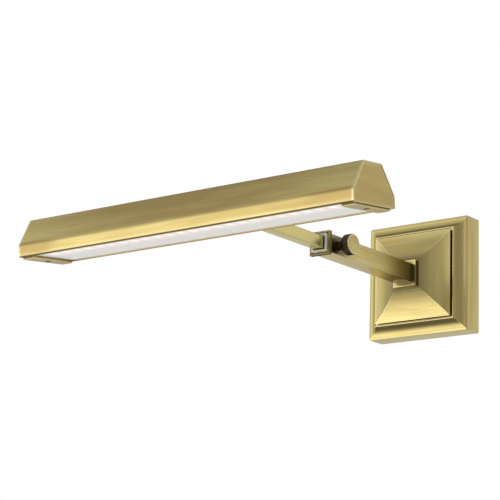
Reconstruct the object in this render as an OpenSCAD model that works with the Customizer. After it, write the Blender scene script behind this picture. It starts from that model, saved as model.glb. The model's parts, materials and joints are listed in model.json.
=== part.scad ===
// Wall picture light: square stepped canopy, telescoping square arm, tilting LED head.
// Frame: the wall is the plane y = 0 and the lamp reaches out along -Y; +X is to the
// right of a person facing the wall, +Z is up; the origin is the centre of the back.
// "Depth" below always means the distance out from the wall, so depth = -y.

/* [Wall canopy] */
// Width and height of the square canopy
canopy_w = 127; // [124:0.5:132]
// Depth of the canopy's flat front rim
rim_depth = 24; // [22:0.5:26]
// Width of the raised square ledge inside the rim
ledge_w = 102; // [99:0.5:104]
// Depth of the ledge
ledge_depth = 32.2; // [31.5:0.1:33]
// Wall thickness of the canopy casting
canopy_wall = 2.4; // [2:0.1:2.8]

/* [Pyramid cap] */
// Width of the pyramid at its base
pyramid_w = 96; // [92:0.5:97]
// Width of the pyramid at its flat top
pyramid_top_w = 31.8; // [30:0.2:34]
// Depth of the pyramid's flat top
pyramid_depth = 47.2; // [46:0.1:49]
// How far each pyramid face sags below flat
pyramid_sag = 2; // [1.2:0.1:2.4]

/* [Arm] */
// Width of the square collar at the arm's root
collar_w = 28.4; // [26:0.2:30]
// Depth of the collar's front
collar_depth = 51.1; // [50.5:0.1:53]
// Outside width of the fixed square tube
outer_w = 20.6; // [20.4:0.1:21]
// Depth of the fixed tube's open end
outer_end = 206.9; // [190:0.1:215]
// Wall thickness of the fixed tube
outer_wall = 1.5; // [1.3:0.1:1.6]
// Width of the square flange on the tube's mouth
flange_w = 25.1; // [24:0.1:27]
// Thickness of the mouth flange
flange_t = 3.6; // [3:0.1:4.5]
// Outside width of the sliding square tube
inner_w = 12.7; // [12.5:0.1:12.9]
// Depth of the tilt pivot at rest
pivot_depth = 374; // [372:0.5:376]

/* [Thumbscrew] */
// How far behind the tube's open end the screw sits
clamp_inset = 19.2; // [17:0.1:22]
// Diameter of the knurled knob
knob_d = 21.9; // [18:0.1:24]
// Distance from the arm's axis to the knob's flat face
knob_reach = 28; // [26:0.1:30]

/* [Lamp head] */
// Length of the shade
head_len = 404; // [380:1:420]
// Width of the shade at its open bottom
head_w = 66; // [65:0.5:67]
// Width of the shade's flat top
head_top_w = 29.6; // [28:0.2:31]
// Height of the shade's upright sides
side_h = 11.8; // [11:0.1:12.5]
// Whole height of the shade
head_h = 39.4; // [38.5:0.1:40]
// Thickness of the shade's sheet metal
sheet_t = 1.2; // [1:0.1:1.4]
// Depth of the middle of the shade's bottom
head_reach = 406.3; // [406:0.1:407]
// How far the middle of the shade's bottom hangs below the arm's axis
head_drop = 34.7; // [34:0.1:35.5]
// Tilt of the head towards the wall at rest, degrees
head_tilt = 6.9; // [4:0.1:9]

/* [Light source] */
// Spacing of the LED chips along the board
led_pitch = 14.65; // [13:0.05:14.7]
// Number of LED chips
led_count = 24; // [20:2:24]
// Thickness of the diffuser
diffuser_t = 2; // [1.6:0.1:2.4]

/* [Hidden] */
$fn = 64;
brass = "darkgoldenrod";
dark_brass = "saddlebrown";
steel = "silver";
fit = 0.05;              // radial clearance of a screw in its hole
gap = 0.3;               // clearance between sliding parts
past = 1;                // how far a cut runs past the face that it opens
tube_r = 1;              // corner radius of the square tubes
edge_r = 0.6;            // corner radius of the collar and the bushing's lip

// screw heads
pan_rim = 0.6;           // share of the head's height that is upright
pan_top = 0.75;          // share of its radius left at the top
recess_half = 0.5;       // the cross recess, as shares of the head's radius
recess_arm = 0.1;
recess_floor = 0.5;      // the recess's floor, as a share of the head's height

// canopy
canopy_half = canopy_w / 2;
rim_edge = 0.8;          // small flat on the rim's outer edge
rim_w = 1.7;             // width of the flat rim
ledge_half = ledge_w / 2;
ledge_side = 1.2;        // upright side of the ledge
ledge_lip = 1.4;         // width of the raised edge round the ledge
channel_h = 1.2;         // depth of the channel inside it, which runs round the pyramid
cove_sag = 1.8;          // how far the cove sags below flat
cavity_half = canopy_half - canopy_wall;
cavity_depth = rim_depth - canopy_wall;
well_half = ledge_half - canopy_wall;
floor_depth = ledge_depth - canopy_wall;

// pyramid
plinth_in = 1.5;         // undercut below the pyramid's edge, which shows as a dark line
plinth_h = 1.4;
pyramid_edge = 2.5;      // height of the pyramid's upright edge, with the plinth
pyramid_wall = 2;
pyramid_half = pyramid_w / 2;

// fastening in the canopy
nipple_r = 4.95;
nipple_hole_r = 5.2;
nipple_bore_r = 3.6;
nipple_back = 20;
nipple_front = 60;
washer_t = 1.2;
washer_r = 9;
nipple_nut_size = [17, 5];
strap_w = 30;
strap_t = 2;
strap_flange = 15;
strap_half = cavity_half - gap;
slot_spacing = 79.5;     // between the middles of the junction box slots
slot_len = 24;
slot_r = 2.4;
feed_hole_r = 7;
feed_hole_z = 17;
side_screw_x = 9;
side_screw_depth = 9;
side_screw_r = 2;
side_screw_play = 0.2;
side_screw_len = 8;
side_head = [3.2, 1.6];  // radius and height of a screw head, here and below
ground_z = -18;
ground_head = [3.6, 2.4];
driver_box = [32, 18, 80];
driver_x = -56;
driver_step = 5;         // step along the driver's two ends, where its screws would go

// arm
outer_half = outer_w / 2;
bore_half = outer_half - outer_wall;
inner_half = inner_w / 2;
inner_wall = 1.2;
inner_back = 130;
socket = 2.1;            // how deep the collar holds the tube
plug_front = 61;
mouth_half = outer_half + gap;
tube_inset = 2;          // from the tube's end to the flange's front
flange_front = outer_end + tube_inset;
flange_groove = 0.6;     // depth of the hollow around the flange's edge
groove_r = 2;
bushing_half = bore_half - fit;
bushing_lip_half = 9.5;
bushing_lip = 3.8;
bushing_mouth_half = 7.3;
bushing_mouth = 2.5;
bushing_len = 25;
shoe_len = 12;

// leads
lead_r = 1.6;
lead_depth = 12;         // depth at which the lead leaves the driver
lead_bend = 7;
lead_end = 240;
arm_lead_r = 1.2;
arm_lead_x = 3.4;
arm_lead_back = 255;
lead_hole_r = 2.4;
head_lead_r = 1.5;
head_lead_u = 12;
head_lead_len = 22;

// tilt knuckle
shoulder = 9;            // pivot to the square shoulder of the arm tip
shoulder_t = 2;
inner_end = pivot_depth - shoulder - shoulder_t;
tip_plug = 17;
tip_bore = 12;           // how deep the lead runs into the arm tip
tongue_half = 2.6;
tongue_r = 5.5;
ear_in = 3.2;
ear_t = 3.2;
ear_r = 6.5;
ear_neck = 6;
pivot_fit = 0.06;        // radial clearance of the tongue on the tilt screw
tilt_screw_r = 2;
tilt_screw_end = 11;
tilt_head = [4, 2.4];
tilt_nut_size = [7, 3.2]; // width across flats and height of a nut, here and below
spring_r = 3.8;
spring_t = 1;
friction_r = 5.2;
friction_gap = 0.1;
bracket_base = [30, 20, 2];
bracket_screw_x = 11;
bracket_screw_len = 7;
bracket_head = [2.8, 1.8];
bracket_nut_size = [5.5, 2.4];

// thumbscrew
clamp_depth = outer_end - clamp_inset;
thread_r = 2.5;
insert_r = 5;
insert_out = 3.2;
insert_step = 1.5;       // how much narrower the insert is inside the tube's wall
pad_r = 3.2;
pad_t = 1;
pad_gap = 0.1;
knob_h = 9.5;
knob_back = 1;           // bevel at the knob's back
knob_edge = 0.5;         // bevel at its front
knob_skin = 2;           // brass left in front of the shank
neck_r = 3;
neck_start = outer_half + insert_out + 0.4;
shank_tip = inner_half + pad_gap + pad_t + fit;

// head
head_half = head_w / 2;
top_half = head_top_w / 2;
lip = 4;                 // inward lip along the shade's bottom edges
cap_inset = 0.4;
cap_t = 1.5;
cap_x = head_len / 2 - cap_inset - cap_t;
tray_v = 6.2;
tray_t = 1.5;
tray_half = 30;
tray_flange = 5;
board_u = -14;
board_half = 6;
board_t = 1.6;
chip = [5, 3, 0.8];
diffuser_v = sheet_t + fit;
block_len = 14.3;
block_out = 2;           // how far the end blocks stand below the shade
block_half = head_half - lip - 0.2;
block_ledge = 3;         // how far the diffuser's ends lie on the blocks
block_play = 0.4;        // around the screw's head
block_x = cap_x - block_len;
block_r = 3;             // rounded rear corners
block_screw_x = block_x + block_len / 2;
block_screw_r = 1.5;
block_head = [3, 1.8];
block_seat = 1.6;        // depth of the seat that its head lies in
block_screw_len = tray_v + 2 * tray_t + block_out;
tab_len = 12;
tab_half = 10;

// Circle that hangs a given sag below the straight line from p to q
function sag_r(p, q, s) = (norm(q - p) * norm(q - p) / 4 + s * s) / (2 * s);
function sag_c(p, q, s) =
    (p + q) / 2 + (sag_r(p, q, s) - s) * [(q - p)[1], -(q - p)[0]] / norm(q - p);

cove_p = [canopy_half - rim_edge - rim_w, rim_depth];
cove_q = [ledge_half, ledge_depth - ledge_side];
face_p = [pyramid_half, ledge_depth + pyramid_edge];
face_q = [pyramid_top_w / 2, pyramid_depth];

// A point of the world's YZ plane as [u, v] in the head's own frame
function in_head(y, z) = [
    (y + head_reach) * cos(head_tilt) + (z + head_drop) * sin(head_tilt),
    -(y + head_reach) * sin(head_tilt) + (z + head_drop) * cos(head_tilt)
];
slope_dir = [top_half - head_half, head_h - side_h] / norm([top_half - head_half, head_h - side_h]);
slope_n = [slope_dir[1], -slope_dir[0]];
pivot_uv = in_head(-pivot_depth, 0);
pivot_off = (pivot_uv - [head_half, side_h]) * slope_n;
pivot_foot = pivot_uv - pivot_off * slope_n;

// ---------- helpers ----------

// Extrudes an XZ outline outward from one depth to another
module outward(from, to) translate([0, -from, 0]) rotate([90, 0, 0]) linear_extrude(to - from) children();

// Extrudes a YZ outline along X from x0 to x1
module across(x0, x1) translate([x0, 0, 0]) rotate([90, 0, 90]) linear_extrude(x1 - x0) children();

// Box between two corners
module span(lo, hi) translate(lo) cube(hi - lo);

// Square outline with rounded corners
module round_square(w, r) {
    square([w, w - 2 * r], center = true);
    square([w - 2 * r, w], center = true);
    for (sx = [-1, 1], sy = [-1, 1])
        translate([sx * (w / 2 - r), sy * (w / 2 - r)]) circle(r);
}

// Solid with a square plan and mitred corners, from a [half width, depth] outline
module mitred(reach) intersection() {
    linear_extrude(reach, center = true) mirror([0, 1]) children();
    rotate([0, 90, 0]) linear_extrude(reach, center = true) mirror([0, 1]) children();
}

// Both hollow curves that a sagging face takes out of an outline
module sags(p, q, s) for (side = [0, 1]) mirror([side, 0]) intersection() {
    translate(sag_c(p, q, s)) circle(sag_r(p, q, s), $fn = 180);
    translate([q[0], p[1]]) square([p[0] - q[0], q[1] - p[1]]);
}

// Outline given for one side only, drawn for both
module both_sides(points) polygon(concat(
    points, [for (i = [len(points) - 1:-1:0]) [-points[i][0], points[i][1]]]
));

// Places children in the tilted head: X, then u towards the wall, then v up
module head_frame() translate([0, -head_reach, -head_drop]) rotate([head_tilt, 0, 0]) children();

// Places children on the shade's rear slope, Z out of the slope, origin below the pivot
module slope_frame() head_frame()
    translate([0, pivot_foot[0], pivot_foot[1]])
    rotate([-atan2(slope_n[0], slope_n[1]), 0, 0]) children();

// Places children at the tilt pivot, Z along X
module pivot_frame(x) translate([x, -pivot_depth, 0]) rotate([0, 90, 0]) children();

// Places children at the thumbscrew's axis, Z along X
module clamp_frame(x) translate([x, -clamp_depth, 0]) rotate([0, 90, 0]) children();

// Round head with a cross recess, standing on z = 0, from its [radius, height]
module pan_head(size) let (r = size[0], h = size[1]) difference() {
    union() {
        cylinder(h = h * pan_rim, r = r);
        translate([0, 0, h * pan_rim]) cylinder(h = h * (1 - pan_rim), r1 = r, r2 = r * pan_top);
    }
    for (a = [0, 90]) rotate(a)
        translate([-r * recess_half, -r * recess_arm, h * recess_floor])
            cube([2 * r * recess_half, 2 * r * recess_arm, h]);
}

// Hex nut standing on z = 0, from its [width across flats, height] and its hole
module hex_nut(size, hole_r) linear_extrude(size[1]) difference() {
    circle(r = size[0] / 2 / cos(30), $fn = 6);
    circle(hole_r);
}

// Flat washer standing on z = 0
module washer(r, t, hole_r) linear_extrude(t) difference() {
    circle(r);
    circle(hole_r);
}

// ---------- fixed on the wall ----------

module canopy() color(brass) difference() {
    mitred(canopy_w) difference() {
        both_sides([
            [canopy_half, 0], [canopy_half, rim_depth - rim_edge], [canopy_half - rim_edge, rim_depth],
            cove_p, cove_q, [ledge_half, ledge_depth]
        ]);
        sags(cove_p, cove_q, cove_sag);
    }
    outward(ledge_depth - channel_h, ledge_depth + past) difference() {
        square(ledge_w - 2 * ledge_lip, center = true);
        square(pyramid_w - 2 * plinth_in, center = true);
    }
    span([-cavity_half, -cavity_depth, -cavity_half], [cavity_half, past, cavity_half]);
    span([-well_half, -floor_depth, -well_half], [well_half, past, well_half]);
    outward(floor_depth - past, ledge_depth + past) circle(nipple_hole_r);
    for (s = [-1, 1]) translate([s * side_screw_x, -side_screw_depth, cavity_half - past])
        cylinder(h = canopy_wall + 2 * past, r = side_screw_r + side_screw_play);
}

module pyramid_cap() color(brass) difference() {
    mitred(canopy_w) difference() {
        both_sides([
            [pyramid_half - plinth_in, ledge_depth], [pyramid_half - plinth_in, ledge_depth + plinth_h],
            [pyramid_half, ledge_depth + plinth_h], face_p, face_q
        ]);
        sags(face_p, face_q, pyramid_sag);
    }
    mitred(canopy_w) difference() {
        translate([-pyramid_half + pyramid_wall + plinth_in, ledge_depth - past])
            square([
                2 * (pyramid_half - pyramid_wall - plinth_in),
                pyramid_depth - ledge_depth + past - pyramid_wall
            ]);
        for (side = [0, 1]) mirror([side, 0]) translate(sag_c(face_p, face_q, pyramid_sag))
            circle(sag_r(face_p, face_q, pyramid_sag) + pyramid_wall, $fn = 180);
    }
    outward(ledge_depth, pyramid_depth + past) circle(nipple_hole_r);
}

module arm_collar() color(brass) difference() {
    outward(pyramid_depth, collar_depth) round_square(collar_w, edge_r);
    outward(collar_depth - socket, collar_depth + past) square(outer_w, center = true);
    outward(pyramid_depth - past, collar_depth + past) circle(nipple_hole_r);
}

module mounting_bracket() color(steel) difference() {
    union() {
        span([-strap_w / 2, -strap_t, -strap_half], [strap_w / 2, 0, strap_half]);
        for (s = [0, 1]) mirror([0, 0, s])
            span([-strap_w / 2, -strap_flange, strap_half - strap_t], [strap_w / 2, 0, strap_half]);
    }
    for (s = [-1, 1]) outward(-past, strap_t + past) {
        translate([0, s * slot_spacing / 2]) square([2 * slot_r, slot_len - 2 * slot_r], center = true);
        for (e = [-1, 1]) translate([0, s * slot_spacing / 2 + e * (slot_len / 2 - slot_r)]) circle(slot_r);
    }
    outward(-past, strap_t + past) translate([0, feed_hole_z]) circle(feed_hole_r);
    outward(-past, strap_t + past) translate([0, ground_z]) circle(side_screw_r + fit);
    for (s = [-1, 1]) translate([s * side_screw_x, -side_screw_depth, strap_half - strap_t - past])
        cylinder(h = strap_t + 2 * past, r = side_screw_r + fit);
}

module canopy_screws() color(brass) for (s = [-1, 1])
    translate([s * side_screw_x, -side_screw_depth, canopy_half]) {
        pan_head(side_head);
        translate([0, 0, -side_screw_len]) cylinder(h = side_screw_len, r = side_screw_r);
    }

module ground_screw() color("green") translate([0, -strap_t, ground_z]) rotate([90, 0, 0]) {
    pan_head(ground_head);
    translate([0, 0, -strap_t]) cylinder(h = strap_t, r = side_screw_r);
}

module led_driver() color("whitesmoke") translate([driver_x, -cavity_depth, -driver_box[2] / 2]) {
    difference() {
        cube(driver_box);
        for (z = [-past, driver_box[2] - driver_step])
            translate([-past, driver_box[1] - driver_step, z])
                cube([driver_box[0] + 2 * past, driver_step + past, driver_step + past]);
    }
}

module threaded_nipple() color(brass) outward(nipple_back, nipple_front) difference() {
    circle(nipple_r);
    circle(nipple_bore_r);
}

module lock_washer() color(steel) translate([0, -floor_depth + washer_t, 0]) rotate([90, 0, 0])
    washer(washer_r, washer_t, nipple_hole_r);

module nipple_nut() color(steel)
    translate([0, -floor_depth + washer_t + nipple_nut_size[1], 0]) rotate([90, 0, 0])
        hex_nut(nipple_nut_size, nipple_r + fit);

module root_plug() color(brass) outward(collar_depth - socket, plug_front) difference() {
    round_square(2 * (bore_half - fit), tube_r / 2);
    circle(nipple_r + fit);
}

module outer_tube() color(brass) difference() {
    outward(collar_depth - socket, outer_end) difference() {
        round_square(outer_w, tube_r);
        round_square(2 * bore_half, tube_r / 2);
    }
    clamp_frame(0) cylinder(h = outer_w, r = insert_r - insert_step);
}

// The flange's edge has a shallow hollow that runs round it
module mouth_flange() color(brass) difference() {
    mitred(flange_w) difference() {
        translate([-flange_w / 2, flange_front - flange_t]) square([flange_w, flange_t]);
        for (s = [-1, 1])
            translate([s * (flange_w / 2 + groove_r - flange_groove), flange_front - flange_t / 2])
                circle(groove_r);
    }
    outward(flange_front - flange_t - past, outer_end) round_square(outer_w, tube_r);
    outward(outer_end, flange_front + past) square(2 * mouth_half, center = true);
}

module guide_bushing() color("lightgray") difference() {
    union() {
        outward(outer_end - bushing_len, outer_end) round_square(2 * bushing_half, tube_r / 2);
        outward(outer_end, outer_end + bushing_lip) round_square(2 * bushing_lip_half, edge_r);
    }
    outward(outer_end - bushing_len - past, outer_end + bushing_lip + past)
        round_square(inner_w + 2 * gap, tube_r);
    outward(outer_end + bushing_lip - bushing_mouth, outer_end + bushing_lip + past)
        square(2 * bushing_mouth_half, center = true);
    clamp_frame(0) cylinder(h = outer_w, r = pad_r + gap);
}

module clamp_insert() color(brass) difference() {
    union() {
        clamp_frame(outer_half) cylinder(h = insert_out, r = insert_r);
        clamp_frame(bore_half) cylinder(h = outer_wall, r = insert_r - insert_step - fit);
    }
    clamp_frame(0) cylinder(h = outer_w, r = thread_r);
}

module feed_lead() color("dimgray") {
    translate([driver_x + driver_box[0], -lead_depth, 0]) rotate([0, 90, 0])
        cylinder(h = -lead_bend - driver_x - driver_box[0], r = lead_r);
    translate([-lead_bend, -lead_depth - lead_bend, 0]) rotate_extrude(angle = 90, $fn = 48)
        translate([lead_bend, 0]) circle(lead_r);
    outward(lead_depth + lead_bend, lead_end) circle(lead_r);
}

// ---------- slides in and out ----------

module inner_tube() color(brass) outward(inner_back, inner_end) difference() {
    round_square(inner_w, tube_r);
    round_square(inner_w - 2 * inner_wall, tube_r / 2);
}

module slide_shoe() color("lightgray") outward(inner_back, inner_back + shoe_len) difference() {
    round_square(2 * (bore_half - gap), tube_r);
    round_square(inner_w + 2 * fit, tube_r);
}

module arm_tip() color(brass) difference() {
    union() {
        outward(inner_end - tip_plug, inner_end)
            round_square(inner_w - 2 * inner_wall - 2 * fit, tube_r / 2);
        outward(inner_end, inner_end + shoulder_t) round_square(inner_w, tube_r);
        across(-tongue_half, tongue_half) {
            translate([-pivot_depth, 0]) circle(tongue_r);
            translate([-pivot_depth, -tongue_r]) square([shoulder, 2 * tongue_r]);
        }
    }
    pivot_frame(-inner_w) cylinder(h = 2 * inner_w, r = tilt_screw_r + pivot_fit);
    translate([arm_lead_x, 0, 0])
        outward(inner_end - tip_plug - past, inner_end - tip_plug + tip_bore) circle(arm_lead_r + fit);
}

module arm_lead() color("dimgray") translate([arm_lead_x, 0, 0])
    outward(arm_lead_back, inner_end - tip_plug + tip_bore) circle(arm_lead_r);

// ---------- thumbscrew ----------

module clamp_pad() color("dimgray") clamp_frame(inner_half + pad_gap) cylinder(h = pad_t, r = pad_r);

module thumbscrew_knob() color(dark_brass) difference() {
    clamp_frame(knob_reach - knob_h) {
        cylinder(h = knob_back, r1 = knob_d / 2 - knob_back, r2 = knob_d / 2);
        translate([0, 0, knob_back]) cylinder(h = knob_h - knob_back - knob_edge, r = knob_d / 2);
        translate([0, 0, knob_h - knob_edge])
            cylinder(h = knob_edge, r1 = knob_d / 2, r2 = knob_d / 2 - knob_edge);
    }
    clamp_frame(0) cylinder(h = knob_reach - knob_skin, r = thread_r - fit);
}

module thumbscrew_shank() color(steel) {
    clamp_frame(shank_tip) cylinder(h = knob_reach - knob_skin - shank_tip, r = thread_r - 2 * fit);
    clamp_frame(neck_start) cylinder(h = knob_reach - knob_h - neck_start, r = neck_r);
}

// ---------- lamp head ----------

// Right half of the shade's outline, moved in by a distance, from its upper side corner up
function shade_corners(in) = [
    [head_half - in, side_h - in * (1 - slope_n[0]) / slope_n[1]],
    [top_half - in * (1 - slope_n[1]) / slope_n[0], head_h - in]
];

module shade() color(brass) difference() {
    head_frame() difference() {
        across(-head_len / 2, head_len / 2) difference() {
            both_sides(concat([[head_half, 0]], shade_corners(0)));
            both_sides(concat([
                [head_half - lip, -past], [head_half - lip, sheet_t], [head_half - sheet_t, sheet_t]
            ], shade_corners(sheet_t)));
        }
        for (s = [0, 1]) mirror([s, 0, 0])
            span(
                [cap_x - fit, -head_half + sheet_t, -past],
                [head_len, head_half - sheet_t, sheet_t + past]
            );
    }
    slope_frame() translate([0, 0, -sheet_t - past]) {
        for (s = [-1, 1]) translate([s * bracket_screw_x, 0, 0])
            cylinder(h = sheet_t + 2 * past, r = block_screw_r + fit);
        cylinder(h = sheet_t + 2 * past, r = lead_hole_r);
    }
}

// One end of the shade, drawn for the right end
module end_cap() head_frame() difference() {
    union() {
        across(cap_x, cap_x + cap_t)
            both_sides(concat([[head_half - sheet_t - fit, 0]], shade_corners(sheet_t + fit)));
        span([cap_x - tab_len, -tab_half, tray_v + tray_t], [cap_x, tab_half, tray_v + 2 * tray_t]);
    }
    translate([block_screw_x, 0, 0]) cylinder(h = head_h / 2, r = block_screw_r + fit);
}
module end_cap_right() color(brass) end_cap();
module end_cap_left() color(brass) mirror([1, 0, 0]) end_cap();

module hinge_bracket() color(brass) slope_frame() difference() {
    union() {
        translate([-bracket_base[0] / 2, -bracket_base[1] / 2, 0]) cube(bracket_base);
        for (s = [0, 1]) mirror([s, 0, 0]) across(ear_in, ear_in + ear_t) {
            translate([0, pivot_off]) circle(ear_r);
            translate([-ear_neck, 0]) square([2 * ear_neck, pivot_off]);
        }
    }
    translate([-inner_w, 0, pivot_off]) rotate([0, 90, 0])
        cylinder(h = 2 * inner_w, r = tilt_screw_r + fit);
    translate([0, 0, -past]) {
        for (s = [-1, 1]) translate([s * bracket_screw_x, 0, 0])
            cylinder(h = bracket_base[2] + 2 * past, r = block_screw_r + fit);
        cylinder(h = bracket_base[2] + 2 * past, r = lead_hole_r);
    }
}

module bracket_screws() color(brass) slope_frame() for (s = [-1, 1])
    translate([s * bracket_screw_x, 0, bracket_base[2]]) {
        pan_head(bracket_head);
        translate([0, 0, -bracket_screw_len]) cylinder(h = bracket_screw_len, r = block_screw_r);
    }

module bracket_nuts() color(steel) slope_frame() for (s = [-1, 1])
    translate([s * bracket_screw_x, 0, -sheet_t - bracket_nut_size[1]])
        hex_nut(bracket_nut_size, block_screw_r + fit);

module tilt_screw() color(brass) {
    pivot_frame(ear_in + ear_t) pan_head(tilt_head);
    pivot_frame(-tilt_screw_end) cylinder(h = tilt_screw_end + ear_in + ear_t, r = tilt_screw_r);
}

module tilt_nut() color(brass) pivot_frame(-ear_in - ear_t - spring_t - tilt_nut_size[1])
    hex_nut(tilt_nut_size, tilt_screw_r + fit);

module spring_washer() color(steel) pivot_frame(-ear_in - ear_t - spring_t)
    washer(spring_r, spring_t, tilt_screw_r + fit);

module friction_washers() color("dimgray") for (x = [-ear_in, tongue_half + friction_gap])
    pivot_frame(x) washer(friction_r, ear_in - tongue_half - friction_gap, tilt_screw_r + fit);

module led_tray() color(steel) head_frame() difference() {
    across(-cap_x + gap, cap_x - gap) both_sides([
        [tray_half, tray_v], [tray_half, tray_v + tray_t + tray_flange],
        [tray_half - tray_t, tray_v + tray_t + tray_flange], [tray_half - tray_t, tray_v + tray_t]
    ]);
    for (s = [-1, 1]) translate([s * block_screw_x, 0, 0])
        cylinder(h = head_h / 2, r = block_screw_r + fit);
    translate([0, head_lead_u, 0]) cylinder(h = head_h / 2, r = lead_hole_r);
}

module led_board() color("white") head_frame() translate([0, board_u, tray_v - board_t])
    linear_extrude(board_t) square([led_pitch * led_count, 2 * board_half], center = true);

module led_chips() color("khaki") head_frame() for (i = [0:led_count - 1])
    translate([(i - (led_count - 1) / 2) * led_pitch, board_u, tray_v - board_t - chip[2] / 2])
        cube(chip, center = true);

module diffuser() color("white") head_frame() translate([0, 0, diffuser_v])
    linear_extrude(diffuser_t)
    square([2 * (block_x + block_ledge - gap), 2 * (head_half - sheet_t - gap)], center = true);

// One end block, drawn for the right end
module end_block() head_frame() difference() {
    translate([0, 0, -block_out]) linear_extrude(block_out + tray_v) {
        translate([block_x, -block_half]) square([block_len - fit, 2 * block_half - block_r]);
        translate([block_x + block_r, -block_half])
            square([block_len - 2 * block_r - fit, 2 * block_half]);
        for (x = [block_x + block_r, cap_x - block_r - fit])
            translate([x, block_half - block_r]) circle(block_r);
    }
    span([block_x - past, -head_w, diffuser_v - fit], [block_x + block_ledge, head_w, tray_v + past]);
    translate([block_screw_x, 0, -head_h / 2]) cylinder(h = head_h, r = block_screw_r + fit);
    translate([block_screw_x, 0, -block_out - past])
        cylinder(h = block_seat + past, r = block_head[0] + block_play);
}
module end_block_right() color(brass) end_block();
module end_block_left() color(brass) mirror([1, 0, 0]) end_block();

module block_screws() color(brass) head_frame() for (s = [-1, 1])
    translate([s * block_screw_x, 0, -block_out + block_seat]) {
        mirror([0, 0, 1]) pan_head(block_head);
        cylinder(h = block_screw_len, r = block_screw_r);
    }

module head_lead() color("dimgray") head_frame() translate([0, head_lead_u, tray_v - board_t])
    cylinder(h = head_lead_len, r = head_lead_r);

canopy();
pyramid_cap();
arm_collar();
mounting_bracket();
canopy_screws();
ground_screw();
led_driver();
threaded_nipple();
lock_washer();
nipple_nut();
root_plug();
outer_tube();
mouth_flange();
guide_bushing();
clamp_insert();
feed_lead();
inner_tube();
slide_shoe();
arm_tip();
arm_lead();
clamp_pad();
thumbscrew_knob();
thumbscrew_shank();
shade();
end_cap_left();
end_cap_right();
hinge_bracket();
bracket_screws();
bracket_nuts();
tilt_screw();
tilt_nut();
spring_washer();
friction_washers();
led_tray();
led_board();
led_chips();
diffuser();
end_block_left();
end_block_right();
block_screws();
head_lead();
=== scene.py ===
"""Picture light in antique brushed brass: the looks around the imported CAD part.

Everything is in metres in the part's own frame: the wall is the plane y = 0, the lamp reaches out along
-Y and the shade runs along X. Most CAD nodes keep their shape and get soft edges and a material. The
canopy, pyramid, shade, knob, nipple, lock washer and driver are built again here, with rounded folds,
knurling, threads, teeth and seams.
"""

import json
import math

import bmesh
import bpy
from mathutils import Matrix, Vector


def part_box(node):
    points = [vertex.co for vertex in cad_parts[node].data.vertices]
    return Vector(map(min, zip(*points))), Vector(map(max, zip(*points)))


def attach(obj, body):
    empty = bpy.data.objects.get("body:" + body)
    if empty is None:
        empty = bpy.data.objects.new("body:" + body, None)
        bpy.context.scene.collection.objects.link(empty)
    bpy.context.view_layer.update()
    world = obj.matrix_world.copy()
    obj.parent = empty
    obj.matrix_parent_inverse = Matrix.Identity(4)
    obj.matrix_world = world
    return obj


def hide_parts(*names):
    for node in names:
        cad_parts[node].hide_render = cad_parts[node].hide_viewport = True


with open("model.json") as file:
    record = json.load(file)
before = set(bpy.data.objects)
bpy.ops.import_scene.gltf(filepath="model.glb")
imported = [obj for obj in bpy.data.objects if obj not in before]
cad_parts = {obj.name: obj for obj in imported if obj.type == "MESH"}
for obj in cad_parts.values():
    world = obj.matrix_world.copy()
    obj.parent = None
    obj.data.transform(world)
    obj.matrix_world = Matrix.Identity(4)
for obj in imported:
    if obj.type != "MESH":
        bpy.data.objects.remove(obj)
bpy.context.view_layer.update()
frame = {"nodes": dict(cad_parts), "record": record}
nodes = frame["nodes"]
record = frame["record"]
body_of_node = {
    node: body for body, members in record["behaviour"]["bodies"].items() for node in members
}

MM = 0.001

# ---------- camera ----------

AZIMUTH = math.radians(37.94)       # the camera stands to the right of the lamp and a little below it
ELEVATION = math.radians(-13.92)
ROLL = math.radians(1.71)
DISTANCE = 2.1875                   # from the origin, along the line of sight
AIM = (-0.1988, 0.0364)             # what the camera aims at, right of the origin and above it in its view
LENS = 142.2


def make_camera():
    back = Vector((
        math.sin(AZIMUTH) * math.cos(ELEVATION),
        -math.cos(AZIMUTH) * math.cos(ELEVATION),
        math.sin(ELEVATION),
    ))
    level = Vector((math.cos(AZIMUTH), math.sin(AZIMUTH), 0))
    upright = back.cross(level)
    right = math.cos(ROLL) * level + math.sin(ROLL) * upright
    up = -math.sin(ROLL) * level + math.cos(ROLL) * upright
    place = AIM[0] * right + AIM[1] * up + DISTANCE * back
    camera = bpy.data.objects.new("camera", bpy.data.cameras.new("camera"))
    camera.data.lens = LENS
    camera.data.clip_end = 100
    camera.matrix_world = Matrix.Translation(place) @ Matrix((right, up, back)).transposed().to_4x4()
    bpy.context.scene.collection.objects.link(camera)
    bpy.context.scene.camera = camera
    bpy.context.scene.view_settings.view_transform = "Standard"


# ---------- node trees ----------

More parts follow.
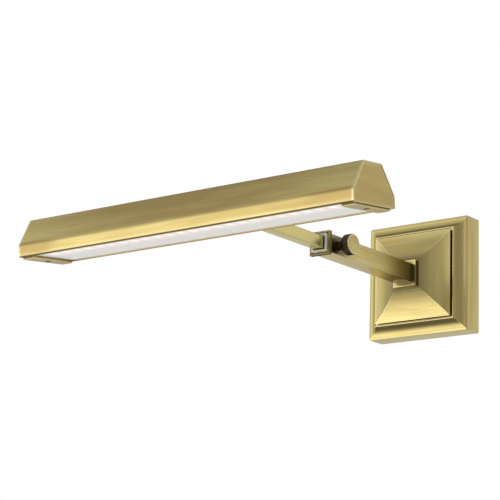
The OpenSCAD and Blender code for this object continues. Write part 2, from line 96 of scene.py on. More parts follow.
class Graph:
    """A node tree, with short calls that add a node and return its output."""

    def __init__(self, tree):
        self.tree = tree
        tree.nodes.clear()

    def node(self, kind, inputs=None, **settings):
        node = self.tree.nodes.new("ShaderNode" + kind)
        for name, value in settings.items():
            setattr(node, name, value)
        for key, value in (inputs or {}).items():
            if isinstance(value, bpy.types.NodeSocket):
                self.tree.links.new(value, node.inputs[key])
            else:
                node.inputs[key].default_value = value
        return node

    def place(self):
        """Where a point is on the part at rest, in metres."""
        return self.node("TexCoord").outputs["Object"]

    def scaled(self, vector, scale):
        return self.node("Mapping", {"Vector": vector, "Scale": scale}).outputs[0]

    def noise(self, vector, scale=1.0, detail=3.0, roughness=0.55):
        return self.node("TexNoise", {
            "Vector": vector, "Scale": scale, "Detail": detail, "Roughness": roughness,
        }).outputs[0]

    def coordinate(self, vector, axis):
        return self.node("SeparateXYZ", {0: vector}).outputs["xyz".index(axis)]

    def math(self, operation, a, b=0.0, clamp=False):
        return self.node("Math", {0: a, 1: b}, operation=operation, use_clamp=clamp).outputs[0]

    def plus(self, a, b):
        return self.math("ADD", a, b)

    def minus(self, a, b):
        return self.math("SUBTRACT", a, b)

    def times(self, a, b):
        return self.math("MULTIPLY", a, b)

    def larger(self, a, b):
        return self.math("MAXIMUM", a, b)

    def size(self, value):
        return self.math("ABSOLUTE", value)

    def dot(self, a, b):
        return self.node("VectorMath", {0: a, 1: b}, operation="DOT_PRODUCT").outputs["Value"]

    def fit(self, value, low, high, to_low=0.0, to_high=1.0):
        """value from low..high to to_low..to_high, held at the ends, with a smooth start and stop."""
        return self.node("MapRange", {
            "Value": value, "From Min": low, "From Max": high, "To Min": to_low, "To Max": to_high,
        }, interpolation_type="SMOOTHSTEP").outputs[0]

    def mix(self, share, a, b):
        """A number between a and b."""
        return self.node("Mix", {0: share, 2: a, 3: b}, data_type="FLOAT").outputs[0]

    def blend(self, share, a, b):
        """A colour between a and b."""
        node = self.node("Mix", {0: share}, data_type="RGBA")
        for index, value in ((6, a), (7, b)):
            if isinstance(value, bpy.types.NodeSocket):
                self.tree.links.new(value, node.inputs[index])
            else:
                node.inputs[index].default_value = (*value, 1)
        return node.outputs[2]

    def bump(self, height, distance, strength):
        return self.node("Bump", {
            "Height": height, "Distance": distance, "Strength": strength,
        }).outputs[0]

    def surface(self, **inputs):
        """Ends the material in one Principled shader. An underscore stands for a space in a name."""
        values = {name.replace("_", " "): value for name, value in inputs.items()}
        colour = values.get("Base Color")
        if isinstance(colour, tuple):
            values["Base Color"] = (*colour, 1)
        shader = self.node("BsdfPrincipled", values)
        self.node("OutputMaterial", {"Surface": shader.outputs[0]})


def new_material(name):
    material = bpy.data.materials.new(name)
    material.use_nodes = True
    return material, Graph(material.node_tree)


# ---------- brass ----------

RUBBED = (1.0, 0.90, 0.50)          # edges rubbed to bare brass, and painted highlights along bends
BRIGHT = (0.93, 0.80, 0.33)         # brushed brass
AGED = (0.64, 0.468, 0.17)          # brass under its olive-brown patina
DARK = (0.13, 0.093, 0.042)         # patina and painted shade in corners and grooves
BRUSH_MARKS = (9, 700)              # marks per metre along the grain and across it
HAIRLINES = (60, 3000)
CLOUDS = (5, 42)
FOLD_REACH = 5 * MM                 # how far from a fold or edge the brass has been handled
ROOT = 50 * MM                      # how far from the wall the arm's tube starts


def brushed(graph, place, grain, marks, detail=4):
    """Noise drawn out along one axis, or on a square plate along its nearest edge."""
    if grain == "plate":
        x, z = (graph.size(graph.coordinate(place, axis)) for axis in "xz")
        beside = graph.math("GREATER_THAN", x, z)
        return graph.mix(beside, *(brushed(graph, place, axis, marks, detail) for axis in "xz"))
    along, across = marks
    scale = [across] * 3
    scale["xyz".index(grain)] = along
    return graph.noise(graph.scaled(place, scale), detail=detail, roughness=0.6)


def openness(graph, reach, through_metal=False):
    """How much of a point's surroundings is free within reach: in the air, or in the metal below it."""
    return graph.node(
        "AmbientOcclusion", {"Distance": reach}, samples=8, inside=through_metal, only_local=through_metal,
    ).outputs["AO"]


def flatness(graph):
    """1 on a flat face, and less near a fold or edge."""
    rounded = graph.node("Bevel", {"Radius": FOLD_REACH}, samples=8).outputs[0]
    return graph.dot(rounded, graph.node("NewGeometry").outputs["Normal"])


def ridge_mask(graph, place):
    """1 along the mitred ridges of a square plate, where its edges are rubbed bright."""
    x, z = (graph.size(graph.coordinate(place, axis)) for axis in "xz")
    return graph.fit(graph.size(graph.minus(x, z)), 0.9 * MM, 0.15 * MM)


def height_in_head(graph, place):
    """How far a point of the shade is above the shade's bottom, in metres."""
    up = (0.0, -math.sin(HEAD_TILT), math.cos(HEAD_TILT))
    return graph.minus(graph.dot(place, up), in_head(0, 0, 0).dot(Vector(up)))


def shade_darkening(graph, place, ends):
    """How much darker the shade is painted: on its band beyond its ends, and on its slopes in the middle.
    """
    last = 0.2  # the shade's end
    across = graph.size(graph.coordinate(place, "x"))
    on_band = graph.fit(across, ends, last, 0.0, 1.2)
    on_slope = graph.fit(across, 0.05, last, 0.32, -0.3)
    slope = graph.fit(height_in_head(graph, place), 11 * MM, 16 * MM)
    return graph.mix(slope, on_band, on_slope)


def brass(name, grain, age, hollow, lines=1.0, wall=1.1 * MM, open_sky=0.62, folds=None, ends=None,
          root=None, seat=None):
    """Brushed antique brass: brush marks, drawn-out clouds of patina, dark hollows and rubbed edges.

    hollow is how far the dark of a corner reaches, patina and painted shade, and open_sky how much open
    air ends it. wall is less than the thickness of the metal. folds brightens a sheet along its bends,
    from one flatness to another, as a painted highlight. ends is for the shade: how far from its middle
    its band starts to darken; its underside is painted darker, as painted shade. root is how far from the
    wall the painted shade at a tube's root reaches, standing for the canopy mirrored in it, and seat is
    half the width of the square of painted shade round the collar.
    """
    material, graph = new_material(name)
    place = graph.place()
    marks = brushed(graph, place, grain, BRUSH_MARKS)
    hairlines = brushed(graph, place, grain, HAIRLINES)
    clouds = brushed(graph, place, grain, CLOUDS, detail=3)
    blotches = graph.plus(graph.times(marks, 0.3 * lines), graph.times(clouds, 0.7))
    middle = 0.35 + 0.15 * lines + (0.5 - age) * 0.4
    patina = graph.fit(blotches, middle - 0.28, middle + 0.28)

    flat = flatness(graph)
    metal = openness(graph, wall, through_metal=True)
    edge = graph.fit(metal, 0.93, 0.75)
    beside_edge = graph.fit(metal, 1.0, 0.95, 0.0, 0.35)
    if grain == "plate":
        edge = graph.larger(edge, graph.times(ridge_mask(graph, place), 0.9))
    # painted highlight along a sheet's bends, in the colour of rubbed brass
    if folds:
        edge = graph.larger(edge, graph.fit(flat, *folds))
    # patina in the hollows, and painted shade where the air round a point is closed in
    patina_and_painted_shade = graph.fit(openness(graph, hollow), open_sky, open_sky - 0.42)
    patina_and_painted_shade = graph.times(patina_and_painted_shade, graph.fit(edge, 0.0, 1.0, 1.0, 0.35))

    handled = graph.fit(flat, 0.998, 0.84, 0.0, 0.5)
    aged_and_shaded = graph.plus(graph.times(patina, graph.minus(1.0, handled)), beside_edge)
    if ends:
        # painted shade on the shade's underside: darker, and without rubbed edges
        underneath = graph.fit(height_in_head(graph, place), 1.2 * MM, 0.5 * MM)
        edge = graph.times(edge, graph.minus(1.0, underneath))
        aged_and_shaded = graph.plus(aged_and_shaded, shade_darkening(graph, place, ends))
        aged_and_shaded = graph.plus(aged_and_shaded, graph.times(underneath, 0.5))
    aged_and_shaded = graph.math("MULTIPLY", aged_and_shaded, graph.minus(1.0, edge), clamp=True)
    if root:
        # painted shade on the tube towards its root, standing for the dark canopy mirrored in it
        out = graph.times(graph.coordinate(place, "y"), -1.0)
        patina_and_painted_shade = graph.larger(patina_and_painted_shade, graph.fit(out, root, ROOT, 0.0, 0.95))
    if seat:
        # painted shade in a square round the collar's foot, with no rubbed edges inside it
        off = graph.larger(*(graph.size(graph.coordinate(place, axis)) for axis in "xz"))
        for reach, dark in ((2.5 * MM, 0.95), (13 * MM, 0.42)):
            patina_and_painted_shade = graph.larger(patina_and_painted_shade, graph.fit(off, seat + reach, seat, 0.0, dark))
        edge = graph.times(edge, graph.fit(off, seat, seat + 1 * MM))

    colour = graph.blend(edge, graph.blend(aged_and_shaded, BRIGHT, AGED), RUBBED)
    colour = graph.blend(graph.times(patina_and_painted_shade, 0.9), colour, DARK)
    rough = graph.plus(graph.fit(hairlines, 0.25, 0.75, 0.0, 0.09), graph.fit(aged_and_shaded, 0.0, 1.0, 0.22, 0.29))
    relief = graph.plus(graph.times(marks, 0.5), graph.times(hairlines, 0.5))
    graph.surface(
        Base_Color=colour, Metallic=1.0, Roughness=rough,
        Normal=graph.bump(relief, 0.03 * MM, 0.4 * lines), Coat_Weight=0.2, Coat_Roughness=0.15,
    )
    return material


def bronze(name, colour=(0.050, 0.036, 0.024), tips=(0.19, 0.14, 0.085)):
    """Dark patina on a knurled or turned piece, rubbed brown on its tips."""
    material, graph = new_material(name)
    place = graph.place()
    cloud = graph.noise(place, scale=300, detail=3)
    rubbed = graph.fit(openness(graph, 0.7 * MM), 0.55, 0.98)
    rubbed = graph.times(rubbed, graph.fit(cloud, 0.3, 0.7, 0.35, 1.0))
    graph.surface(
        Base_Color=graph.blend(rubbed, colour, tips), Metallic=1.0,
        Roughness=graph.fit(cloud, 0.3, 0.7, 0.34, 0.5), Normal=graph.bump(cloud, 0.02 * MM, 0.4),
    )
    return material


# ---------- other materials ----------

def metal(name, colour, spot, grain=None):
    """Plain metal, softly mottled from one colour to another, with brush marks where it has a grain."""
    material, graph = new_material(name)
    place = graph.place()
    mottle = graph.noise(place, scale=90, detail=2)
    marks = brushed(graph, place, grain, HAIRLINES) if grain else graph.noise(place, scale=2200)
    graph.surface(
        Base_Color=graph.blend(graph.fit(mottle, 0.35, 0.65), colour, spot), Metallic=1.0,
        Roughness=graph.fit(marks, 0.3, 0.7, 0.28, 0.42), Normal=graph.bump(marks, 0.02 * MM, 0.4),
    )
    return material


def plastic(name, colour, shade, rough):
    """Moulded plastic, rubber or enamel: a fine texture in the relief and a slow drift in the colour."""
    material, graph = new_material(name)
    place = graph.place()
    texture = graph.noise(place, scale=2400, detail=2)
    drift = graph.noise(place, scale=70, detail=3)
    graph.surface(
        Base_Color=graph.blend(graph.fit(drift, 0.35, 0.7), colour, shade),
        Roughness=graph.fit(texture, 0.3, 0.7, rough - 0.06, rough + 0.06),
        Normal=graph.bump(texture, 0.03 * MM, 0.4),
    )
    return material


LED_COUNT = 24


def frosted(name):
    """Frosted acrylic, with a faint painted glow all over and a faint warm spot of painted glow below each
    LED chip.
    """
    low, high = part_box("led_chips")
    chip_length = 5 * MM
    pitch = (high.x - low.x - chip_length) / (LED_COUNT - 1)
    spread = 7 * MM
    forward = 1.5 * MM  # how far in front of the chips their spots show
    material, graph = new_material(name)
    place = graph.place()
    along = graph.minus(graph.coordinate(place, "x"), low.x + chip_length / 2 - pitch / 2)
    along = graph.minus(graph.math("FLOORED_MODULO", along, pitch), pitch / 2)
    across = graph.minus(graph.coordinate(place, "y"), (low.y + high.y) / 2 - forward)
    drawn_in = graph.times(across, 0.8)
    distance = graph.plus(graph.math("POWER", along, 2), graph.math("POWER", drawn_in, 2))
    spot = graph.fit(graph.math("SQRT", distance), spread, 0.0)
    row = graph.fit(graph.size(across), 3.2 * spread, 0.0)
    inside = graph.math("LESS_THAN", graph.size(graph.coordinate(place, "x")), high.x + spread)
    glow = graph.plus(graph.times(spot, 0.9), graph.times(row, 0.3))
    glow = graph.math("MULTIPLY", glow, inside, clamp=True)
    haze = graph.noise(place, scale=60, detail=2)
    texture = graph.noise(place, scale=3000, detail=2)
    plain = graph.blend(graph.fit(haze, 0.3, 0.7), (0.80, 0.785, 0.765), (0.83, 0.815, 0.80))
    # painted light: the acrylic glows faintly all over, and warmer in a spot below each chip, where the
    # chips show through
    graph.surface(
        Base_Color=plain,
        Roughness=graph.fit(texture, 0.3, 0.7, 0.42, 0.55), Normal=graph.bump(texture, 0.01 * MM, 0.35),
        Emission_Color=graph.blend(glow, (0.08, 0.075, 0.07), (0.50, 0.36, 0.28)),
        Emission_Strength=1.0,
    )
    return material


# ---------- shapes ----------

def make_smoother():
    """Geometry nodes that join a CAD mesh's separate faces and shade it smooth between its sharp edges."""
    group = bpy.data.node_groups.new("smooth_between_edges", "GeometryNodeTree")
    for side in ("INPUT", "OUTPUT"):
        group.interface.new_socket("Geometry", in_out=side, socket_type="NodeSocketGeometry")
    kinds = (
        "NodeGroupInput", "GeometryNodeMergeByDistance", "GeometryNodeRemoveAttribute",
        "GeometryNodeSetShadeSmooth", "GeometryNodeSetShadeSmooth", "NodeGroupOutput",
    )
    chain = [group.nodes.new(kind) for kind in kinds]
    for before, after in zip(chain, chain[1:]):
        group.links.new(before.outputs[0], after.inputs[0])
    merge, forget, smooth, sharpen = chain[1:5]
    merge.inputs["Distance"].default_value = 0.002 * MM
    forget.inputs["Name"].default_value = "custom_normal"
    smooth.inputs["Shade Smooth"].default_value = True
    sharpen.domain = "EDGE"
    sharpen.inputs["Shade Smooth"].default_value = False
    angle = group.nodes.new("GeometryNodeInputMeshEdgeAngle")
    sharp = group.nodes.new("FunctionNodeCompare")
    sharp.inputs["B"].default_value = math.radians(30)
    group.links.new(angle.outputs[0], sharp.inputs["A"])
    group.links.new(sharp.outputs[0], sharpen.inputs["Selection"])
    return group


def round_edges(piece, width, segments=2, angle=30):
    """Rounds a piece's sharp edges, from a width in millimetres."""
    bevel = piece.modifiers.new("edges", "BEVEL")
    bevel.width = width * MM
    bevel.segments = segments
    bevel.limit_method = "ANGLE"
    bevel.angle_limit = math.radians(angle)
    bevel.use_clamp_overlap = True
    bevel.harden_normals = True


def soften(node, width, smoother):
    """Smooth shading and rounded edges for a CAD node, with its mesh as it was."""
    piece = nodes[node]
    shading = piece.modifiers.new("shading", "NODES")
    shading.node_group = smoother
    round_edges(piece, width)


def paint(node, material):
    piece = nodes[node]
    piece.data.materials.clear()
    piece.data.materials.append(material)


def piece_from(name, points, faces, materials, replaces, smooth_angle=32, indices=None):
    """A mesh that stands for a CAD node and rides on its body. Its faces are turned outward."""
    mesh = bpy.data.meshes.new(name)
    mesh.from_pydata(points, [], faces)
    mesh.validate()
    for material in materials:
        mesh.materials.append(material)
    if indices:
        mesh.polygons.foreach_set("material_index", indices)
    shape = bmesh.new()
    shape.from_mesh(mesh)
    bmesh.ops.recalc_face_normals(shape, faces=shape.faces)
    shape.to_mesh(mesh)
    shape.free()
    mesh.polygons.foreach_set("use_smooth", [True] * len(mesh.polygons))
    mesh.set_sharp_from_angle(angle=math.radians(smooth_angle))
    piece = bpy.data.objects.new(name, mesh)
    bpy.context.scene.collection.objects.link(piece)
    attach(piece, body_of_node[replaces])
    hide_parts(replaces)
    return piece


def rows_of_faces(rows, ring):
    """Faces that join rows of ring points each, one row to the next, all the way round."""
    faces = []
    for row in range(rows - 1):
        for step in range(ring):
            a, b = row * ring + step, row * ring + (step + 1) % ring
            faces.append((a, b, b + ring, a + ring))
    return faces


def capped(rows, ring):
    """The same rows, closed with a flat cap at both ends."""
    return rows_of_faces(rows, ring) + [tuple(range(ring)), tuple(range((rows - 1) * ring, rows * ring))]


def rounded_rectangle(half_x, half_z, radius, corner_steps):
    """The points of a rectangle with round corners."""
    points = []
    for index, (sx, sz) in enumerate(((1, 1), (-1, 1), (-1, -1), (1, -1))):
        for step in range(corner_steps + 1):
            angle = math.pi / 2 * (index + step / corner_steps)
            x = sx * (half_x - radius) + radius * math.cos(angle)
            z = sz * (half_z - radius) + radius * math.sin(angle)
            points.append((x, z))
    return points


FILLET_STEPS = 5


def arc(centre, start, end, steps):
    """Points of the shorter arc round a centre from one spoke to another."""
    first = math.atan2(start.y, start.x)
    turn = (math.atan2(end.y, end.x) - first + math.pi) % (2 * math.pi) - math.pi
    spokes = (first + turn * step / steps for step in range(steps + 1))
    return [centre + start.length * Vector((math.cos(a), math.sin(a))) for a in spokes]


def filleted(corners):
    """The points of an open outline from its (x, y, radius) corners. Without a radius one stays sharp."""
    path = []
    for index, (x, y, radius) in enumerate(corners):
        here = Vector((x, y))
        if not radius:
            path.append(here)
            continue
        before = (Vector(corners[index - 1][:2]) - here).normalized()
        after = (Vector(corners[index + 1][:2]) - here).normalized()
        half = before.angle(after) / 2
        centre = here + (before + after).normalized() * radius / math.sin(half)
        reach = radius / math.tan(half)
        path += arc(centre, here + before * reach - centre, here + after * reach - centre, FILLET_STEPS)
    return path


def sagging(start, end, sag, steps=28):
    """The corners of a hollow curve from start to end, without its ends."""
    start, end = Vector(start), Vector(end)
    chord = end - start
    radius = (chord.length_squared / 4 + sag * sag) / (2 * sag)
    side = Vector((chord.y, -chord.x)).normalized()
    centre = (start + end) / 2 + side * (radius - sag)
    return [(point.x, point.y, 0) for point in arc(centre, start - centre, end - centre, steps)[1:-1]]


def square_shell(name, profile, corner, material, replaces):
    """A square piece round the Y axis with mitred, slightly round corners, closed at both ends.

    The profile is in millimetres: half the width, then the depth from the wall. corner gives the radius of
    the corners from half the width.
    """
    corner_steps = 4
    points = [
        Vector((x, -depth, z)) * MM
        for half, depth in profile
        for x, z in rounded_rectangle(half, half, corner(half), corner_steps)
    ]
    faces = capped(len(profile), 4 * (corner_steps + 1))
    piece = piece_from(name, points, faces, [material], replaces)
    normals = piece.modifiers.new("normals", "WEIGHTED_NORMAL")
    normals.keep_sharp = True
    return piece


CENTRE = 6  # half the width at which the shells end, inside what covers them


def make_canopy(material):
    low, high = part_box("canopy")
    half, depth = high.x / MM, -low.y / MM
    rim_depth, rim_w, rim_drop = 24, 2.5, 0.6
    mitre, side_corner = 0.4, 1.8  # radii of the corners, within the rim and on the sides
    ledge, ledge_side, cove_sag, wall = 51, 1.2, 1.8, 2.4
    cove_start = (half - rim_w, rim_depth)
    cove_end = (ledge, depth - ledge_side)
    lip, channel, plinth = ledge - 1.4, depth - 0.8, 46.9
    outline = [
        (CENTRE, depth, 0), (plinth, depth, 0), (plinth, channel, 0), (lip, channel, 0), (lip, depth, 0.3),
        (ledge, depth, 0.4), (*cove_end, 0),
    ]
    outline += reversed(sagging(cove_start, cove_end, cove_sag))
    outline += [
        (*cove_start, 0), (half, rim_depth - rim_drop, 0.5), (half, 0, 0.3), (half - wall, 0, 0.3),
        (half - wall, rim_depth - wall, 0.8), (ledge - wall, rim_depth - wall, 0.8),
        (ledge - wall, depth - wall, 0.8), (CENTRE, depth - wall, 0),
    ]

    def corner(width):
        share = (width - cove_start[0]) / (half - cove_start[0])
        return mitre + (side_corner - mitre) * max(0.0, min(1.0, share))

    return square_shell("canopy_shell", filleted(outline), corner, material, "canopy")


def make_pyramid(material):
    low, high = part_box("pyramid_cap")
    half, front, back = high.x / MM, -low.y / MM, -high.y / MM
    plinth_in, plinth_h, edge, top, sag, wall = 1.1, 1.4, 2.5, 15.9, 2, 2
    face_start, face_end = (half, back + edge), (top, front)
    outline = [(CENTRE, front, 0), (*face_end, 0.4)]
    outline += reversed(sagging(face_start, face_end, sag))
    inner_start, inner_end = (half - plinth_in - wall, back + edge / 2), (top - wall / 2, front - wall)
    outline += [
        (*face_start, 0), (half, back + plinth_h, 0.2), (half - plinth_in, back + plinth_h, 0),
        (half - plinth_in, back, 0), (half - plinth_in - wall, back, 0), (*inner_start, 0),
    ]
    outline += sagging(inner_start, inner_end, sag)
    outline += [(*inner_end, 0), (CENTRE, front - wall, 0)]
    return square_shell("pyramid_shell", filleted(outline), lambda width: 0.4, material, "pyramid_cap")


HEAD_REACH, HEAD_DROP = 406.3, 34.7  # the middle of the shade's bottom, as in the CAD, in millimetres
HEAD_TILT = math.radians(6.9)


def in_head(x, u, v):
    """A point of the head, from its place along the shade, towards the wall and up, in millimetres."""
    y = -HEAD_REACH + u * math.cos(HEAD_TILT) - v * math.sin(HEAD_TILT)
    z = -HEAD_DROP + u * math.sin(HEAD_TILT) + v * math.cos(HEAD_TILT)
    return Vector((x, y, z)) * MM


def make_shade(material):
    """The shade as one folded sheet, with round folds, inward lips and room for the end blocks."""
    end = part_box("shade")[1].x / MM
    notch = end - 1.95  # where the lips end
    half, top, side_h, height, sheet, lip = 33, 14.8, 11.8, 39.4, 1.2, 4
    slope = Vector((top - half, height - side_h)).normalized()

    def section(inset, folds):
        """The sheet's outline on one side, from one lip over the top to the other."""
        upper = side_h - inset * (1 - slope.y) / -slope.x
        shoulder = top - inset * (1 + slope.x) / slope.y
        right = [
            (half - lip, inset, 0), (half - inset, inset, folds[0]), (half - inset, upper, folds[1]),
            (shoulder, height - inset, folds[2]),
        ]
        return filleted(right + [(-u, v, radius) for u, v, radius in reversed(right)])

    outer = section(0, (1.8, 5.5, 2.2))
    inner = section(sheet, (0.6, 4.3, 1.0))
    count = len(outer)
    places = (-end, -notch, notch, end)
    points = [in_head(x, *point) for x in places for chain in (outer, inner) for point in chain]
    skip = 3  # outline points in a lip, which stop short of the shade's ends

    def at(place, chain, index):
        return (2 * place + chain) * count + index

    faces = []
    for place in range(3):
        after = place + 1
        first = 0 if place == 1 else skip
        last = count - 1 - first
        for chain in (0, 1):
            for index in range(first, last):
                faces.append((
                    at(place, chain, index), at(place, chain, index + 1),
                    at(after, chain, index + 1), at(after, chain, index),
                ))
        for index in (first, last):
            faces.append((
                at(place, 0, index), at(place, 1, index), at(after, 1, index), at(after, 0, index),
            ))
    across = [(0, skip, count - 1 - skip), (3, skip, count - 1 - skip)]
    across += [(place, a, b) for place in (1, 2) for a, b in ((0, skip), (count - 1 - skip, count - 1))]
    for place, first, last in across:
        for index in range(first, last):
            faces.append((
                at(place, 0, index), at(place, 0, index + 1), at(place, 1, index + 1), at(place, 1, index),
            ))
    piece = piece_from("folded_shade", points, faces, [material], "shade")
    round_edges(piece, 0.22, angle=60)
    return piece


def turned(profile, steps, radius_at):
    """Points and faces of a turned piece along Z from its (distance, radius) profile, closed at both ends.

    radius_at(distance, radius, angle) gives each point its own radius. The first and last ring get a point
    on the axis each.
    """
    points = []
    for distance, radius in profile:
        for step in range(steps):
            angle = 2 * math.pi * step / steps
            r = radius_at(distance, radius, angle)
            points.append(Vector((r * math.cos(angle), r * math.sin(angle), distance)))
    faces = rows_of_faces(len(profile), steps)
    ends = [(0, profile[0][0], True), ((len(profile) - 1) * steps, profile[-1][0], False)]
    for first, distance, flip in ends:
        centre = len(points)
        points.append(Vector((0, 0, distance)))
        for step in range(steps):
            pair = (first + step, first + (step + 1) % steps)
            faces.append((centre, *(reversed(pair) if flip else pair)))
    return points, faces


def placed(points, origin, axis):
    """Points drawn along Z, moved so that Z runs along the axis from the origin."""
    turn = Vector((0, 0, 1)).rotation_difference(axis).to_matrix()
    return [turn @ point + origin for point in points]


def make_knob(rim, face):
    """The thumbscrew's knob: a finely knurled rim between two bevels, and a plain brass face."""
    low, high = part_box("thumbscrew_knob")
    radius = (high.z - low.z) / 2
    length = high.x - low.x
    origin = Vector((low.x, (low.y + high.y) / 2, (low.z + high.z) / 2))
    teeth, samples, depth = 84, 4, 0.25 * MM
    hub, back, front, dish = 2.9 * MM, 1.0 * MM, 0.5 * MM, 0.2 * MM
    rim_profile = [
        (0, hub), (0, radius - back - 0.3 * MM), (0.1 * MM, radius - back), (back * 0.9, radius - depth),
        (back + 0.2 * MM, radius), (length - front - 0.5 * MM, radius),
        (length - front - 0.2 * MM, radius - depth),
    ]
    face_profile = [
        (length - front, radius - depth), (length - front * 0.4, radius - front * 0.7),
        (length, radius - front - 0.35 * MM), (length, radius - front - 0.8 * MM),
        (length - dish, radius - front - 1.4 * MM), (length - dish, 0.4 * MM),
    ]
    profile = rim_profile + face_profile

    def knurl(distance, r, angle):
        if r < radius - 1e-6:
            return r
        wave = abs(((angle * teeth / (2 * math.pi)) % 1) * 2 - 1)
        return r - depth * (1 - wave)

    steps = teeth * samples
    points, faces = turned(profile, steps, knurl)
    rim_faces = (len(rim_profile) - 1) * steps
    indices = [0 if index < rim_faces else 1 for index in range((len(profile) - 1) * steps)]
    indices += [0] * steps + [1] * steps
    return piece_from(
        "knurled_knob", placed(points, origin, Vector((1, 0, 0))), faces, [rim, face], "thumbscrew_knob",
        smooth_angle=24, indices=indices,
    )


def threaded_tube(radius, bore, pitch, length, depth, steps=40, per_turn=6):
    """A threaded tube along Z, whose thread runs out at its ends."""
    rows = int(round(length / pitch * per_turn))
    profile = [(length * row / rows, radius) for row in range(rows + 1)]

    def thread(distance, r, angle):
        phase = (distance / pitch - angle / (2 * math.pi)) % 1
        runout = min(1.0, distance / pitch, (length - distance) / pitch)
        return r - depth * abs(phase * 2 - 1) * runout - depth * (1 - runout)

    points, faces = turned(profile, steps, thread)
    faces = [face for face in faces if len(face) == 4]
    points = points[:len(profile) * steps]
    last = (len(profile) - 1) * steps
    inner = len(points)
    for distance in (0, length):
        for step in range(steps):
            angle = 2 * math.pi * step / steps
            points.append(Vector((bore * math.cos(angle), bore * math.sin(angle), distance)))
    for step in range(steps):
        after = (step + 1) % steps
        faces.append((inner + after, inner + step, inner + steps + step, inner + steps + after))
        faces.append((after, step, inner + step, inner + after))
        faces.append((last + step, last + after, inner + steps + after, inner + steps + step))
    return points, faces


def make_nipple(material):
    low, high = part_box("threaded_nipple")
    bore, pitch, depth = 3.6 * MM, 1.0 * MM, 0.35 * MM
    points, faces = threaded_tube((high.x - low.x) / 2, bore, pitch, high.y - low.y, depth)
    origin = Vector(((low.x + high.x) / 2, high.y, (low.z + high.z) / 2))
    points = placed(points, origin, Vector((0, -1, 0)))
    return piece_from("nipple_with_thread", points, faces, [material], "threaded_nipple")


def make_star_washer(material):
    """The lock washer, with teeth round its edge that stand a little out of its plane."""
    low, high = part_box("lock_washer")
    radius = (high.x - low.x) / 2
    thickness = high.y - low.y
    hole, root, gap = 5.2 * MM, radius - 2.2 * MM, radius - 1.9 * MM
    teeth, samples, tooth_share = 16, 8, 0.625
    twist, most = 0.7 * MM, 0.29 * thickness
    steps = teeth * samples
    points = []
    for side in (0, 1):
        for ring in (0, 1, 2):
            for step in range(steps):
                angle = 2 * math.pi * step / steps
                phase = (step / samples) % 1
                on_tooth = phase < tooth_share
                r = (hole, root, radius if on_tooth else gap)[ring]
                lean = (phase - 0.3) * twist if ring == 2 and on_tooth else 0
                level = (0.3 + 0.4 * side) * thickness + max(-most, min(most, lean))
                points.append(Vector((r * math.cos(angle), r * math.sin(angle), level)))
    faces = []
    for ring in (0, 1):
        for step in range(steps):
            after = (step + 1) % steps
            a, b = ring * steps + step, ring * steps + after
            faces.append((b, a, a + steps, b + steps))
            c, d = a + 3 * steps, b + 3 * steps
            faces.append((c, d, d + steps, c + steps))
    for step in range(steps):
        after = (step + 1) % steps
        faces.append((step, after, after + 3 * steps, step + 3 * steps))
        outer = 2 * steps
        faces.append((outer + after, outer + step, outer + step + 3 * steps, outer + after + 3 * steps))
    origin = Vector(((low.x + high.x) / 2, high.y, (low.z + high.z) / 2))
    points = placed(points, origin, Vector((0, -1, 0)))
    return piece_from("star_washer", points, faces, [material], "lock_washer", smooth_angle=20)


def make_driver(material):
    """The LED driver's moulded case: a tub, the seam of its lid and a sunken panel in the lid."""
    low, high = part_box("led_driver")
    corner, least, corner_steps = 3 * MM, 0.4 * MM, 5
    # how far in from the widest outline, and how far up from the canopy as a share of the case's depth
    profile = (
        (1.6, 0.0), (0.5, 0.02), (0.0, 0.06),
        (0.0, 0.60), (0.6, 0.615), (0.6, 0.645), (0.0, 0.66),
        (0.0, 0.94), (0.5, 0.98), (1.6, 1.0),
        (4.2, 1.0), (4.8, 0.965), (7.0, 0.965),
    )
    centre = (low + high) / 2
    size = high - low
    points = []
    for inset, share in profile:
        half_x, half_z = size.x / 2 - inset * MM, size.z / 2 - inset * MM
        radius = max(least, corner - inset * MM)
        for x, z in rounded_rectangle(half_x, half_z, radius, corner_steps):
            points.append(Vector((centre.x + x, low.y + size.y * share, centre.z + z)))
    faces = capped(len(profile), 4 * (corner_steps + 1))
    return piece_from("driver_case", points, faces, [material], "led_driver")


# ---------- stage and light ----------

def make_floor():
    """A wide pale floor, which the brass doesn't mirror: only the studio's light shapes its shine."""
    material, graph = new_material("pale_floor")
    cloud = graph.noise(graph.place(), scale=0.8, detail=3)
    graph.surface(
        Base_Color=graph.blend(cloud, (0.86, 0.86, 0.85), (0.90, 0.90, 0.89)), Roughness=0.8,
        Emission_Color=(1.0, 1.0, 1.0, 1), Emission_Strength=0.62,
    )
    half, height = 60.0, -2.6
    mesh = bpy.data.meshes.new("floor")
    corners = [(x * half, y * half, height) for x, y in ((-1, -1), (1, -1), (1, 1), (-1, 1))]
    mesh.from_pydata(corners, [], [(0, 1, 2, 3)])
    mesh.materials.append(material)
    floor = bpy.data.objects.new("floor", mesh)
    floor.visible_glossy = False
    bpy.context.scene.collection.objects.link(floor)


# The studio's soft boxes: azimuth from -Y towards +X, elevation and the widths of both in degrees, and
# brightness
SOFT_BOXES = (
    (-37, -12, 15, 26, 1.05),
    (-40, 12, 40, 32, 0.44),
    (-64, 50, 24, 16, 0.36),
    (-148, -12, 28, 18, 0.34),
    (144, 14, 34, 22, 0.38),
    (162, -38, 26, 16, 0.7),
)
ROOM, CEILING, GROUND = 0.29, 0.10, 0.13


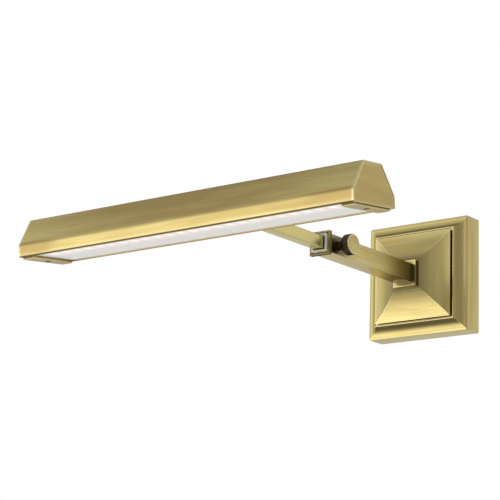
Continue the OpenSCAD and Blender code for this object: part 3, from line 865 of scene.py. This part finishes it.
def make_studio():
    """A plain room in soft light, white behind the lamp."""
    world = bpy.data.worlds.new("studio")
    bpy.context.scene.world = world
    world.use_nodes = True
    graph = Graph(world.node_tree)
    towards = graph.node("TexCoord").outputs["Generated"]
    x, y, height = (graph.coordinate(towards, axis) for axis in "xyz")
    azimuth = graph.math("ARCTAN2", x, graph.times(y, -1.0))
    elevation = graph.math("ARCSINE", height)
    below = graph.fit(height, -0.78, -0.42, GROUND - ROOM, 0.0)
    total = graph.plus(below, graph.fit(height, 0.45, 0.85, ROOM, CEILING))
    for box in SOFT_BOXES:
        centre_a, centre_e, width_a, width_e = (math.radians(value) for value in box[:4])
        falls = []
        for value, centre, width in ((azimuth, centre_a, width_a), (elevation, centre_e, width_e)):
            off = graph.math("DIVIDE", graph.minus(value, centre), width)
            falls.append(graph.math("POWER", off, 2.0))
        fall = graph.math("EXPONENT", graph.times(graph.plus(*falls), -1.0))
        total = graph.plus(total, graph.times(fall, box[4]))
    light = graph.node("Background", {"Color": (1.0, 0.99, 0.97, 1), "Strength": total})
    white = graph.node("Background", {"Color": (1, 1, 1, 1), "Strength": 1.0})
    seen = graph.node("LightPath").outputs["Is Camera Ray"]
    mixed = graph.node("MixShader", {0: seen, 1: light.outputs[0], 2: white.outputs[0]})
    graph.node("OutputWorld", {"Surface": mixed.outputs[0]})


# ---------- the lamp ----------

def dress():
    """Gives every CAD node its edges and material, and makes the pieces with finer relief."""
    plate = brass("brass_plate", "plate", age=0.45, hollow=4.5 * MM, wall=0.7 * MM, open_sky=0.75)
    pyramid = brass("brass_pyramid", "plate", age=0.42, hollow=6 * MM, wall=0.8 * MM, open_sky=0.95,
                    seat=15.5 * MM)
    small = brass("brass_small", "y", age=0.3, hollow=2 * MM, wall=0.6 * MM)
    sliding = brass("brass_sliding", "y", age=-0.1, hollow=7 * MM, wall=0.9 * MM, lines=0.4, open_sky=0.95)
    level = brass("brass_along_x", "x", age=0.62, hollow=1.5 * MM, wall=0.9 * MM, folds=(0.94, 0.87),
                  ends=0.14)
    outward = brass("brass_along_y", "y", age=0.4, hollow=26 * MM, open_sky=1.0, root=105 * MM,
                    folds=(0.84, 0.76))
    collar = brass("brass_collar", "y", age=0.4, hollow=6 * MM, wall=0.6 * MM, open_sky=0.98)
    flange = bronze("flange_brass", (0.17, 0.122, 0.06), (0.52, 0.41, 0.205))
    knob_face = brass("brass_knob", "y", age=0.4, hollow=2 * MM, wall=2.2 * MM)
    caps = brass("brass_caps", "y", age=0.9, hollow=2 * MM, lines=0.6, wall=0.6 * MM)
    blocks = brass("brass_blocks", "y", age=0.8, hollow=4 * MM, lines=0.6, wall=0.4 * MM, open_sky=1.0)
    rim = bronze("knurled_bronze")
    patina = bronze("dark_patina", (0.10, 0.072, 0.038), (0.34, 0.255, 0.13))
    zinc = metal("zinc_plate", (0.60, 0.61, 0.63), (0.50, 0.52, 0.56))
    mill = metal("mill_aluminium", (0.75, 0.76, 0.77), (0.68, 0.69, 0.71), grain="x")
    pale = plastic("pale_nylon", (0.82, 0.83, 0.62), (0.87, 0.88, 0.68), rough=0.35)
    black = plastic("black_nylon", (0.03, 0.03, 0.03), (0.05, 0.05, 0.05), rough=0.5)
    sleeve = plastic("lead_sleeve", (0.035, 0.035, 0.037), (0.05, 0.05, 0.05), rough=0.55)
    case = plastic("driver_case", (0.72, 0.72, 0.70), (0.66, 0.66, 0.64), rough=0.5)
    green = plastic("green_enamel", (0.02, 0.22, 0.06), (0.03, 0.27, 0.08), rough=0.3)
    board = plastic("white_board", (0.82, 0.82, 0.80), (0.86, 0.86, 0.84), rough=0.35)
    phosphor = plastic("led_phosphor", (0.85, 0.62, 0.16), (0.90, 0.68, 0.22), rough=0.25)
    diffuser = frosted("frosted_acrylic")

    # node: (material, width of its rounded edges in millimetres)
    finish = {
        "arm_collar": (collar, 0.4), "canopy_screws": (small, 0.2), "mounting_bracket": (zinc, 0.5),
        "ground_screw": (green, 0.2), "nipple_nut": (zinc, 0.5),
        "root_plug": (small, 0.3), "outer_tube": (outward, 0.7), "mouth_flange": (flange, 0.25),
        "guide_bushing": (pale, 0.3), "clamp_insert": (patina, 0.3), "feed_lead": (sleeve, 0.1),
        "inner_tube": (sliding, 0.2), "slide_shoe": (pale, 0.3), "arm_tip": (small, 0.25),
        "arm_lead": (sleeve, 0.1), "clamp_pad": (black, 0.15), "thumbscrew_shank": (patina, 0.15),
        "end_cap_left": (caps, 0.3), "end_cap_right": (caps, 0.3), "hinge_bracket": (small, 0.4),
        "bracket_screws": (small, 0.2), "bracket_nuts": (zinc, 0.2), "tilt_screw": (small, 0.2),
        "tilt_nut": (small, 0.3), "spring_washer": (zinc, 0.15), "friction_washers": (black, 0.1),
        "led_tray": (mill, 0.4), "led_board": (board, 0.15), "led_chips": (phosphor, 0.15),
        "diffuser": (diffuser, 0.3), "end_block_left": (blocks, 0.4), "end_block_right": (blocks, 0.4),
        "block_screws": (patina, 0.15), "head_lead": (sleeve, 0.1),
    }
    smoother = make_smoother()
    for node, (material, width) in finish.items():
        paint(node, material)
        soften(node, width, smoother)
    make_canopy(plate)
    make_pyramid(pyramid)
    make_shade(level)
    make_knob(rim, knob_face)
    make_nipple(small)
    make_star_washer(zinc)
    make_driver(case)


make_camera()
make_studio()
make_floor()
dress()
